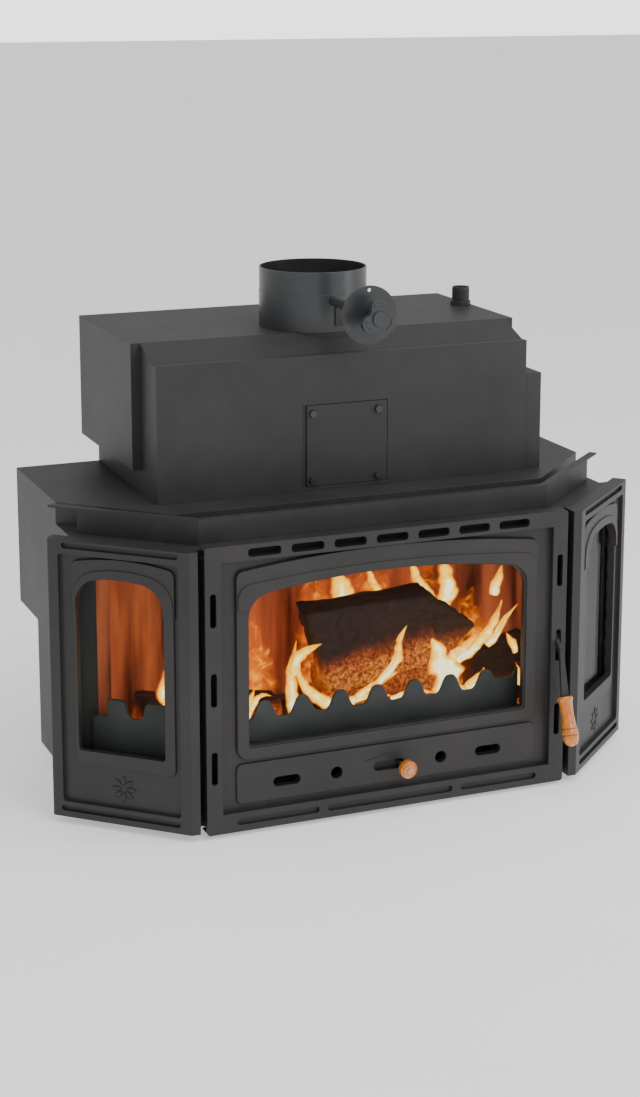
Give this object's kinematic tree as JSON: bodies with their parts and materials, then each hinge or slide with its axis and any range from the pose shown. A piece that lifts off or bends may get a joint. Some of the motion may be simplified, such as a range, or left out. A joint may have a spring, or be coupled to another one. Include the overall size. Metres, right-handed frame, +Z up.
{
  "type": "boiler fireplace",
  "caption": "Wood-burning boiler fireplace with a three-sided cast front, glass door, side windows, stepped steel body, smoke box and round flue collar.",
  "frame": {"origin": "on the floor, under the axis of the flue collar", "axes": "+X to the right of someone who faces the door, +Y from the door to the back, +Z up"},
  "size_m": [1.1364, 0.7055, 0.934],
  "materials": {
    "steel_paint": "satin heat-resistant paint on sheet steel",
    "cast_paint": "satin heat-resistant paint on cast iron",
    "raw_cast": "bare cast iron, greyed by heat",
    "fire_glass": "clear ceramic glass",
    "seal_rope": "woven mineral rope",
    "firebrick": "matte fired clay",
    "varnished_wood": "clear varnish",
    "bright_steel": "plain turned steel"
  },
  "bodies": {
    "body": {"base_frame": "steel_paint", "outer_shell": "steel_paint", "firebox_jacket": "steel_paint", "front_frame": "steel_paint", "floor_plate": "steel_paint", "top_plate": "steel_paint", "neck_shell": "steel_paint", "upper_shell": "steel_paint", "exchanger_tubes": "bright_steel", "front_casing": "steel_paint", "casing_hood": "steel_paint", "riser_box": "steel_paint", "fascia_band": "steel_paint", "flow_stub": "steel_paint", "return_socket": "bright_steel", "flue_collar": "steel_paint", "damper_bushes": "steel_paint", "damper_stop": "steel_paint", "escutcheon": "steel_paint", "grate": "raw_cast", "ash_pan": "steel_paint", "back_bricks": "firebrick", "side_bricks": "firebrick", "log_fence_front": "raw_cast", "log_fence_left": "raw_cast", "log_fence_right": "raw_cast", "smoke_baffle": "steel_paint", "side_panel_left": "cast_paint", "side_panel_right": "cast_paint", "side_glass_left": "fire_glass", "side_glass_right": "fire_glass", "side_gasket_left": "seal_rope", "side_gasket_right": "seal_rope", "side_glass_clips_left": "steel_paint", "side_glass_clips_right": "steel_paint", "hinge_lugs": "steel_paint", "hinge_pins": "bright_steel", "latch_keeper": "steel_paint"},
    "door": {"door_casting": "cast_paint", "door_glass": "fire_glass", "door_glass_gasket": "seal_rope", "door_glass_clips": "steel_paint", "clip_screws": "bright_steel", "door_seal": "seal_rope", "shutter_rails": "steel_paint", "handle_pin": "bright_steel"},
    "handle": {"handle_lever": "steel_paint", "handle_grip": "varnished_wood"},
    "air_slide": {"air_shutter": "steel_paint", "air_stem": "steel_paint", "air_knob": "varnished_wood", "air_knob_screw": "bright_steel"},
    "damper": {"damper_plate": "steel_paint", "damper_rod": "steel_paint", "damper_knob": "steel_paint"},
    "hatch": {"hatch_cover": "steel_paint", "hatch_screws": "steel_paint"}
  },
  "joints": [
    {"name": "door_hinge", "type": "hinge", "parent": "body", "child": "door", "pos_m": [-0.3305, -0.3575, 0.265], "axis": [0, 0, -1], "range_deg": [0, 105]},
    {"name": "handle_pivot", "type": "hinge", "parent": "door", "child": "handle", "pos_m": [0.33, -0.3575, 0.286], "axis": [-1, 0, 0], "range_deg": [0, 50]},
    {"name": "air_slide_travel", "type": "slide", "parent": "door", "child": "air_slide", "axis": [1, 0, 0], "range_m": [-0.044, 0.003]},
    {"name": "damper_turn", "type": "hinge", "parent": "body", "child": "damper", "pos_m": [0, 0, 0.881], "axis": [0, -1, 0], "range_deg": [0, 90]},
    {"name": "hatch_lift_off", "type": "slide", "parent": "body", "child": "hatch", "axis": [0, -1, 0], "range_m": [0, 0.06]}
  ]
}
